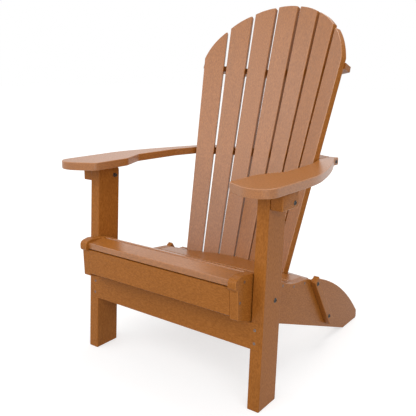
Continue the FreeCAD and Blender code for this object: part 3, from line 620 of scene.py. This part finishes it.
def stringer_corners(seat):
    """Outline of a stringer in the side view, from its lower front corner round."""
    crest, front, rear, end = seat_corners(seat)
    low_z = (seat.heel_y - seat.front_y) * math.tan(seat.slope)
    half = np.linalg.norm(np.subtract(seat.rim, seat.toe)) / 2
    tail_radius = (half ** 2 + seat.tail_rise ** 2) / (2 * seat.tail_rise)
    return [
        (seat.front_y, low_z, 0.003), (seat.heel_y, 0, 0.004), (seat.toe[0], 0, 0.008),
        (*seat.toe, 0.010), arched(seat.toe, seat.rim, tail_radius), (*seat.rim, 0.004),
        (*seat.notch, 0.003), (seat.notch[0], end[1] - seat.notch_rim[1], 0.002),
        (*end, 0.040), (*rear, seat.bend_radii[1]), (*front, seat.bend_radii[0]),
        (*crest, 0.025), (seat.nose[0], crest[1] - seat.nose_drop, 0.015),
        (*seat.nose, 0.009), (seat.front_y - 0.0028, seat.nose[1], 0.001),
    ]


def seat_places(seat):
    """Front top edge and direction of each seat slat, as rows (y, z).

    The slats stand at even steps of arc length along the seat line, which is sampled as its
    straight runs and rounded bends.
    """
    crest, front, rear, end = seat_corners(seat)
    wide = seat.slat[0]
    far = (end[0] + wide, end[1] - wide * math.tan(seat.slopes[2]))
    fine = 400
    ring = corner_ring([(*far, 0), (*rear, seat.bend_radii[1]), (*front, seat.bend_radii[0]),
                        (*crest, 0), (crest[0], far[1] - 1.0, 0)], fine)[0]
    line = ring[:4 * fine][::-1]
    run = np.concatenate([[0], np.cumsum(np.linalg.norm(np.diff(line, axis=0), axis=1))])
    starts = seat.spacing[0] + np.arange(5) * (wide + seat.spacing[1])
    fronts, ends = (np.stack([np.interp(place, run, part) for part in line.T], axis=-1)
                    for place in (starts, starts + wide))
    runs = unit(ends - fronts)
    rise = seat.front_slat_rise
    return (np.vstack([seat.front_slat, fronts]),
            np.vstack([[math.cos(rise), math.sin(rise)], runs]))


class CHAIR_OT_stringers(Operator):
    """Both side boards: rear feet, arched tail, link notch, seat line and nose"""
    bl_idname = "chair.stringers"
    bl_label = "Stringers"

    def execute(self, context):
        seat = context.scene.chair.seat
        for hand in SIDES:
            side_board("stringer", hand, stringer_corners(seat),
                       (0, math.cos(seat.slope), -math.sin(seat.slope)))
        return {"FINISHED"}


class CHAIR_OT_seat_slats(Operator):
    """Five straight seat slats, and the rear one that bulges along the back's foot"""
    bl_idname = "chair.seat_slats"
    bl_label = "Seat slats"

    def execute(self, context):
        chair = context.scene.chair
        seat, back, bits = chair.seat, chair.back, chair.bits
        fronts, runs = seat_places(seat)
        lows = fronts + np.stack([runs[:, 1], -runs[:, 0]], axis=-1) * seat.slat[1]
        for number in range(1, len(fronts)):
            crossbar(f"seat_slat_{number}", section(*seat.slat, bits.ease), lows[number - 1],
                     runs[number - 1])
        front, run, low = fronts[-1], runs[-1], lows[-1]
        right = span("seat_slat_1", 0)[1]
        z = front[1] + run[1] / run[0] * (fan_middle(back, front[1]) - front[0])
        radius = fanned(back, back.radii, z)
        reach = radius - seat.back_clearance
        bend = right * 0.75
        shoulder = (fan_middle(back, z) - radius - front[0]
                    + math.sqrt(reach ** 2 - bend ** 2))
        corners = [(-right, 0, bits.sawn), (right, 0, bits.sawn), (right, shoulder, bits.sawn),
                   (bend, shoulder, 0.02), arched((bend, shoulder), (-bend, shoulder), reach),
                   (-bend, shoulder, 0.02), (-right, shoulder, bits.sawn)]
        place = set_place((0, seat.datum + low[0], low[1]), (1, 0, 0), (0, *run))
        board("seat_slat_rear", corners, seat.slat[1], place, (1, 0, 0), steps=24)
        return {"FINISHED"}


class CHAIR_OT_apron(Operator):
    """The upright board under the front slat"""
    bl_idname = "chair.apron"
    bl_label = "Apron"

    def execute(self, context):
        front, low, high = context.scene.chair.seat.apron
        lean = context.scene.chair.seat.apron_lean
        thick, ease = context.scene.chair.seat.slat[1], context.scene.chair.bits.ease
        crossbar("seat_apron", section(thick, (high - low) / math.cos(lean), ease * 0.4),
                 (front, low), (math.cos(lean), math.sin(lean)))
        return {"FINISHED"}


# ---- legs and links

class CHAIR_OT_legs(Operator):
    """The front legs keep their CAD shape and get the lumber's finish; the stretcher is new"""
    bl_idname = "chair.legs"
    bl_label = "Legs and stretcher"

    def execute(self, context):
        chair = context.scene.chair
        legs = chair.legs
        for name in SIDES:
            dress(f"front_leg_{name}", "lumber_matte_0_90_0")
        slope, face = math.tan(chair.seat.slope), math.tan(legs.lean)
        thick = legs.stretcher[0] / math.cos(legs.lean)
        (low, gap), bevel, easy = legs.stretcher_z, legs.stretcher[1], chair.bits.ease * 0.3
        under = chair.seat.heel_y * slope - gap / math.cos(chair.seat.slope)
        front, rear = (under - np.array((0, thick)) * slope) / (1 + face * slope)
        crossbar("front_stretcher", [
            (low * face, low, easy), (low * face + thick, low, easy),
            ((rear - bevel) * face + thick, rear - bevel, easy),
            (rear * face + thick - bevel, rear + bevel * slope, easy),
            (front * face, front, easy)])
        return {"FINISHED"}


class CHAIR_OT_links(Operator):
    """The two slanting bars that fold with the back"""
    bl_idname = "chair.links"
    bl_label = "Folding links"

    def execute(self, context):
        legs = context.scene.chair.legs
        high, low = np.array(legs.link_high), np.array(legs.link_low)
        up = unit(high - low)
        rear = np.array((up[1], -up[0]))
        top, foot = high + up * legs.link_over[0], low - up * legs.link_over[1]
        wide, shift = legs.link
        near, far = rear * (shift - wide / 2), rear * (shift + wide / 2)
        corners = [(*spot, 0.003) for spot in (foot + near, foot + far, top + far, top + near)]
        for hand in SIDES:
            side_board("back_link", hand, corners, (0, *up))
        return {"FINISHED"}


# ---- arms

def swept(before, corner, after, reach):
    """Corner and radius of a rounding that runs a given way along both sides."""
    come, leave = unit(np.subtract(corner, before)), unit(np.subtract(after, corner))
    return *corner, reach / math.tan(math.acos(come @ leave) / 2)


def arm_corners(arms, side):
    """Plan of an arm: broad front with a slanted inner corner, swept side, narrow tail."""
    inner, outer = span("arm_left", 0)
    (tail_in, tail_out), (flat_y, tail_y) = arms.tail_x, arms.tail_y
    front = (outer, arms.front_y)
    shoulder = (outer, arms.side_y)
    sweep = (outer - arms.sweep[0], arms.sweep[1])
    flat = (tail_out, flat_y)
    waist = tail_out + arms.waist[0]
    left = [
        (*front, arms.front_radii[0]), swept(front, shoulder, sweep, arms.reaches[0]),
        swept(shoulder, sweep, flat, arms.reaches[1]), (*flat, 0.002),
        (tail_out, tail_y, 0.002), (tail_in, tail_y, 0.002),
        (tail_in, arms.neck_y, 0.025), (waist - 0.010, arms.sweep[1], 0.060),
        (waist, arms.waist[1], 0.040), (inner, arms.cheek_y, 0.040),
        (inner, arms.front_y + arms.cut[1], arms.cut[1] / 2),
        (inner + arms.cut[0], arms.front_y, arms.front_radii[1]),
    ]
    return left if side > 0 else [(-x, y, radius) for x, y, radius in reversed(left)]


class CHAIR_OT_arms(Operator):
    """Both arms, and the cleats that carry them on the legs"""
    bl_idname = "chair.arms"
    bl_label = "Arms and cleats"

    def execute(self, context):
        chair = context.scene.chair
        under, top = span("arm_left", 2)
        level = set_place((0, chair.seat.datum, under), (1, 0, 0), (0, 1, 0))
        low = span("arm_cleat_left", 2)[0]
        front, rear = chair.arms.cleat[0], sum(chair.arms.cleat)
        cleat = [(front, low, 0.003), (rear, low, 0.003), (rear, under, 0.0005),
                 (front, under, 0.0005)]
        for hand, side in SIDES.items():
            board(f"arm_{hand}", arm_corners(chair.arms, side), top - under, level, (0, 1, 0),
                  steps=16)
            side_board("arm_cleat", hand, cleat, (0, 1, 0))
        return {"FINISHED"}


# ---- back

def fanned(back, ends, z):
    """A size of the fan at a height, changing evenly from the reference height up."""
    part = (z - back.ref[1]) / back.height
    return ends[0] * (1 - part) + ends[1] * part


def fan_middle(back, z):
    """Side-view place of the middle slat's front face at a height."""
    return back.ref[0] + (z - back.ref[1]) * math.tan(back.recline)


def fan_point(chair, number, z):
    """Middle of a slat's front face: round a circle whose radius grows with height."""
    turn = number * fanned(chair.back, chair.back.steps, z)
    radius = fanned(chair.back, chair.back.radii, z)
    centre = fan_middle(chair.back, z) - radius + chair.seat.datum
    return np.stack([radius * np.sin(turn), centre + radius * np.cos(turn),
                     z + 0.0 * turn], axis=-1)


def slat_points(chair, number, across, shares, z):
    """Points of a slat's front face: its middle, and a share of half its width beside it."""
    wide = fanned(chair.back, chair.back.widths, z)
    return fan_point(chair, number, z) + across * (shares * wide / 2)[:, None]


def slat_axes(chair, number):
    """A slat's level width direction, and the direction that its front face looks."""
    back = chair.back
    turn = number * sum(back.steps) / 2
    across = np.array((math.cos(turn), -math.sin(turn), 0.0))
    run = fan_point(chair, number, back.arch[0]) - fan_point(chair, number, back.low_z)
    return across, unit(np.cross(across, run))


def arch_heights(chair, number, across, shares):
    """Heights at which a slat's edges and middle line meet the arched top.

    The arch is a circle in the back's plane. Each height is found by halving the range
    between the reference height, inside the circle, and one outside it.
    """
    back = chair.back
    up = np.array((0, math.sin(back.recline), math.cos(back.recline)))
    ref = np.array((0, chair.seat.datum + back.ref[0], back.ref[1]))
    top, radius = back.arch
    centre = (top - back.ref[1]) / math.cos(back.recline) - radius
    low, high = (np.full(len(shares), z) for z in (back.ref[1], top + radius))
    for _ in range(40):
        z = (low + high) / 2
        point = slat_points(chair, number, across, shares, z)
        above = (point - ref) @ up - centre
        inside = (above < 0) | (np.hypot(point[:, 0], above) < radius)
        low, high = np.where(inside, z, low), np.where(inside, high, z)
    return low


def circle_radius(a, b, c):
    """Circle through three points: the sides' product over twice the parallelogram's area."""
    sides = np.linalg.norm([b - a, c - b, a - c], axis=1)
    return sides.prod() / (2 * abs(np.linalg.det([b - a, c - a])))


class CHAIR_OT_back_slats(Operator):
    """Seven tapered slats fanned round a cone and cut to one arch"""
    bl_idname = "chair.back_slats"
    bl_label = "Back slats"

    def execute(self, context):
        chair = context.scene.chair
        back = chair.back
        shares = np.array((-1.0, 1.0, 1.0, 0.0, -1.0))     # round the slat from its foot
        for number in SLATS:
            across, front = slat_axes(chair, number)
            foot = fan_point(chair, number, back.low_z)
            place = set_place(foot - front * back.thick, across, np.cross(front, across))
            heights = np.concatenate([[back.low_z] * 2,
                                      arch_heights(chair, number, across, shares[2:])])
            spots = slat_points(chair, number, across, shares, heights)
            ring = ((spots - place[0]) @ place[1:].T)[:, :2]
            corners = [(*spot, back.slat_corner) for spot in ring]
            corners[3] = arched(ring[2], ring[4], circle_radius(*ring[2:]), 0.88)
            dull_sides(board(f"back_slat_{number - SLATS[0] + 1}", corners, back.thick, place,
                             place[2], steps=14))
        return {"FINISHED"}


class CHAIR_OT_back_rails(Operator):
    """The rails behind the slats keep their CAD shape and get the lumber's finish"""
    bl_idname = "chair.back_rails"
    bl_label = "Back rails"

    def execute(self, context):
        for name in ("upper", "arm", "lower"):
            dress(f"back_rail_{name}", "lumber_matte_0_0_0")
        return {"FINISHED"}


# ---- hardware

def loose_solids(node):
    """The separate solids of a CAD node, as arrays of their points.

    Points that coincide count as one. Each starts with its own number, and every triangle
    hands its lowest number to its corners until nothing changes.
    """
    mesh = frame["nodes"][node].data
    points = np.empty(len(mesh.vertices) * 3)
    mesh.vertices.foreach_get("co", points)
    corners = np.empty(len(mesh.loops), np.int32)
    mesh.loops.foreach_get("vertex_index", corners)
    points, merged = np.unique(points.reshape(-1, 3).round(6), axis=0, return_inverse=True)
    triangles = merged.ravel()[corners].reshape(-1, 3)
    label = np.arange(len(points))
    while True:
        spread = label.copy()
        np.minimum.at(spread, triangles.ravel(), np.repeat(label[triangles].min(axis=1), 3))
        if (spread == label).all():
            return [points[label == one] for one in np.unique(label)]
        label = spread


def long_places(node):
    """Places of the bolts or screws in a CAD node, own z along each one toward its head.

    The axis is the direction in which the points spread most, turned toward the end where
    they stand furthest from it; the origin is the head's top. Also returns the lengths.
    """
    places, lengths = [], []
    for points in loose_solids(node):
        middle = points.mean(axis=0)
        axis = np.linalg.svd(points - middle, full_matrices=False)[2][0]
        reach = (points - middle) @ axis
        away = np.linalg.norm(points - middle - reach[:, None] * axis, axis=1)
        if (reach * (away - away.mean())).sum() < 0:
            axis, reach = -axis, -reach
        ends = points[reach > reach.max() - 1e-4].mean(axis=0)
        origin = ends + axis * (reach.max() - (ends - middle) @ axis)
        side = np.cross(axis, (0, 0, 1)) if abs(axis[2]) < 0.9 else np.array((1.0, 0, 0))
        places.append(set_place(origin, side, np.cross(axis, side)))
        lengths.append(reach.max() - reach.min())
    return np.array(places), np.array(lengths)


def flat_places(node):
    """Places of a CAD node's nuts or washers, own z across the chair, and their thickness."""
    places = []
    for points in loose_solids(node):
        low, high = points.min(axis=0), points.max(axis=0)
        places.append(set_place((low[0], *(low + high)[1:] / 2), (0, 1, 0), (0, 0, 1)))
    return np.array(places), high[0] - low[0]


def round_turn(around):
    """Angles at even steps round a whole turn."""
    return np.arange(around) * 2 * np.pi / around


def turned(profile, around=48, rows=slice(0), factor=1.0):
    """A turned piece: one parameter along its profile (radius, height), one round it.

    The point is (r cos t, r sin t, height). r is the profile's radius, in some rows times a
    factor that differs round the piece, as for a hexagon or a lobed recess.
    """
    profile, turn = np.array(profile, float), round_turn(around)
    radius = np.repeat(profile[:, :1], around, axis=1)
    radius[rows] *= factor
    height = np.broadcast_to(profile[:, 1:], radius.shape)
    return np.stack([radius * np.cos(turn), radius * np.sin(turn), height], axis=-1)


def hexagon(around):
    """Polar radius of a hexagon whose half width across the flats is 1."""
    return 1.0 / np.cos((round_turn(around) % (np.pi / 3)) - np.pi / 6)


def bolt_grid(bits, long):
    """A domed bolt with a hexagon socket, its top at height 0."""
    (head, high), (socket, deep), shank = bits.head, bits.socket, bits.bolt_radius
    ball = (head ** 2 + high ** 2) / (2 * high)
    dome = np.linspace(math.asin(head / ball), math.asin(1.25 * socket / ball), 9)
    top = ball * (np.cos(dome) - 1)
    mouth = top[-1]
    return turned([
        (shank * 0.8, -long), (shank, -long + 0.0008), (shank, -high), (head - 0.0003, -high),
        *zip(ball * np.sin(dome), top), (socket, mouth - 0.0001), (socket, mouth - deep),
        (socket * 0.4, mouth - deep - 0.0005)], 48, slice(-3, None), hexagon(48))


def screw_grid(bits, long):
    """A countersunk screw with a six-lobed recess, its top at height 0."""
    (shank, proud), (head, cone), (drive, deep) = bits.screw, bits.screw_head, bits.drive
    return turned([
        (shank * 0.1, -long), (shank, -long + 2 * shank), (shank, -cone - proud),
        (head, -proud), (head, -proud * 0.5), (head - proud, 0.0), (drive * 1.35, 0.0),
        (drive, -0.0002), (drive * 0.94, -deep), (drive * 0.3, -deep - 0.0004)],
        36, slice(-3, None), 1 + 0.16 * np.cos(6 * round_turn(36)))


def nut_grid(bits, thick):
    """A hexagon nut with turned-down corners at both faces and a plain bore."""
    flat, bore = bits.nut_flat / 2, bits.bolt_radius
    edge = flat / math.cos(math.pi / 6)
    return turned([
        (bore, 0.0), (bore, thick), (bore + 0.0006, thick), (flat * 0.94, thick),
        (edge, thick - 0.0012), (edge, 0.0012), (flat * 0.94, 0.0), (bore + 0.0006, 0.0)],
        48, slice(4, 6), np.minimum(1.0, hexagon(48) * flat / edge))[::-1]


def washer_grid(bits, thick, outer):
    """A flat ring with rounded rims."""
    bore, soft = bits.bolt_radius, min(0.0003, thick / 4)
    return turned([
        (bore + soft, 0.0), (bore, soft), (bore, thick - soft), (bore + soft, thick),
        (outer - soft, thick), (outer, thick - soft), (outer, soft), (outer - soft, 0.0)])[::-1]


def fit_hardware(node, grid, places, finish, turns=False):
    """One new object with a detailed part at each place of a CAD node.

    Each point is the place's origin + x X + y Y + z Z, from one grid or a grid for each place.
    """
    points = places[:, None, None, 0] + grid @ places[:, None, 1:]
    mesh = mesh_of(node + "_detail", points, turns)
    mesh.set_sharp_from_angle(angle=math.radians(38))
    add_piece(mesh, node, finish)


def nodes_named(ending):
    """The CAD nodes whose names end in a word."""
    return sorted(name for name in frame["nodes"] if name.endswith(ending))


class CHAIR_OT_bolts(Operator):
    """Domed bolts with hexagon sockets, painted dark"""
    bl_idname = "chair.bolts"
    bl_label = "Bolts"

    def execute(self, context):
        for node in nodes_named("_bolts"):
            places, lengths = long_places(node)
            grid = bolt_grid(context.scene.chair.bits, lengths.mean())
            fit_hardware(node, grid, places, "bolt_paint")
        return {"FINISHED"}


class CHAIR_OT_screws(Operator):
    """Countersunk screws with six-lobed recesses"""
    bl_idname = "chair.screws"
    bl_label = "Screws"

    def execute(self, context):
        for node in nodes_named("_screws"):
            places, lengths = long_places(node)
            grids = np.array([screw_grid(context.scene.chair.bits, long) for long in lengths])
            fit_hardware(node, grids, places, "plain_steel")
        return {"FINISHED"}


class CHAIR_OT_nuts(Operator):
    """Hexagon nuts and flat washers"""
    bl_idname = "chair.nuts"
    bl_label = "Nuts and washers"

    def execute(self, context):
        bits = context.scene.chair.bits
        for node in nodes_named(("_nuts", "_washers")):
            places, thick = flat_places(node)
            low, high = span(node, 2)
            grid = (nut_grid(bits, thick) if node.endswith("_nuts")
                    else washer_grid(bits, thick, (high - low) / 2))
            fit_hardware(node, grid, places, "plain_steel", turns=True)
        return {"FINISHED"}


# ---- studio

def show_as(make, lit, seen, output):
    """One shader lights the chair; another is what camera, glossy and clear rays show."""
    most = make("LightPath", output="Is Camera Ray")
    for ray in ("Is Glossy Ray", "Is Transmission Ray"):
        most = make("Math", {0: most, 1: make("LightPath", output=ray)}, operation="MAXIMUM")
    make(output, {"Surface": make("MixShader", {0: most, 1: lit, 2: seen})})


def add_surroundings(scene, studio):
    """Even light from all round, and white wherever a ray shows the surroundings."""
    scene.world = bpy.data.worlds.new("studio")
    scene.world.use_nodes = True
    make = node_maker(scene.world.node_tree)
    light = (make("Background", {"Color": (1, 1, 1, 1), "Strength": strength})
             for strength in (studio.sky, 1.0))
    show_as(make, *light, "OutputWorld")


def add_floor(studio, reach=30.0):
    """A flat floor, whiter where it is seen and with distance; it keeps the shadow."""
    make = new_material("studio_floor")
    away = make("VectorMath", {0: make("TexCoord", output="Object")}, "Value",
                operation="LENGTH")
    lift = ranged(make, away, 1.0, 3.0, studio.floor_lift, studio.floor_lift + 0.25)
    plain = make("BsdfDiffuse", {"Color": (*studio.floor, 1)})
    lifted = make("AddShader", {0: plain, 1: make("Emission", {"Strength": lift})})
    show_as(make, plain, lifted, "OutputMaterial")
    mesh = bpy.data.meshes.new("floor")
    mesh.from_pydata([(-reach, -reach, 0), (reach, -reach, 0), (reach, reach, 0),
                      (-reach, reach, 0)], [], [(0, 1, 2, 3)])
    mesh.materials.append(bpy.data.materials["studio_floor"])
    link_object("floor", mesh)


def add_lamp(name, place, size, watts):
    """A soft rectangular lamp that looks at the middle of the chair."""
    data = bpy.data.lights.new(name, "AREA")
    data.shape = "RECTANGLE"
    data.size, data.size_y = size
    data.energy = watts
    lamp = link_object(name, data)
    lamp.location = place
    lamp.visible_camera = False
    look = Vector((CAD_BOX[0] + CAD_BOX[1]) / 2) - Vector(place)
    lamp.rotation_euler = look.to_track_quat("-Z", "Y").to_euler()


def add_camera(scene, studio):
    """The camera: rolled, tipped up from straight down, and turned."""
    yaw, pitch, roll = studio.turn
    camera = bpy.data.cameras.new("camera")
    camera.lens = studio.lens
    camera.sensor_width = 36.0
    camera.shift_x, camera.shift_y = studio.shift
    scene.camera = link_object("camera", camera)
    scene.camera.matrix_world = (
        Matrix.Translation(studio.place) @ Matrix.Rotation(yaw, 4, "Z")
        @ Matrix.Rotation(math.pi / 2 - pitch, 4, "X") @ Matrix.Rotation(roll, 4, "Z"))


class CHAIR_OT_studio(Operator):
    """Pale floor, white surroundings, soft lamps and the camera"""
    bl_idname = "chair.studio"
    bl_label = "Studio"

    def execute(self, context):
        scene, studio = context.scene, context.scene.chair.studio
        scene.view_settings.view_transform = "Standard"
        add_surroundings(scene, studio)
        add_floor(studio)
        for name, (place, size) in LAMPS.items():
            add_lamp(name + "_lamp", place, size, getattr(studio, name))
        add_camera(scene, studio)
        return {"FINISHED"}


# ---- add-on

OPERATORS = (
    CHAIR_OT_finishes, CHAIR_OT_stringers, CHAIR_OT_seat_slats, CHAIR_OT_apron,
    CHAIR_OT_legs, CHAIR_OT_links, CHAIR_OT_arms, CHAIR_OT_back_slats, CHAIR_OT_back_rails,
    CHAIR_OT_bolts, CHAIR_OT_screws, CHAIR_OT_nuts, CHAIR_OT_studio,
)


class CHAIR_PT_build(Panel):
    """Lists the chair's builders"""
    bl_idname = "CHAIR_PT_build"
    bl_label = "Adirondack chair"
    bl_space_type = "VIEW_3D"
    bl_region_type = "UI"
    bl_category = "Chair"

    def draw(self, context):
        for operator in OPERATORS:
            self.layout.operator(operator.bl_idname)


CLASSES = (
    SeatSizes, LegSizes, ArmSizes, BackSizes, BitSizes, LumberLook, BitLook, StudioSettings,
    ChairSettings, *OPERATORS, CHAIR_PT_build,
)


def register():
    for item in CLASSES:
        bpy.utils.register_class(item)
    bpy.types.Scene.chair = bpy.props.PointerProperty(
        type=ChairSettings, name="Chair", description="Sizes and looks of the chair")


def unregister():
    del bpy.types.Scene.chair
    for item in reversed(CLASSES):
        bpy.utils.unregister_class(item)


def main():
    register()
    for operator in OPERATORS:
        category, name = operator.bl_idname.split(".")
        getattr(getattr(bpy.ops, category), name)()


if __name__ == "__main__":
    main()
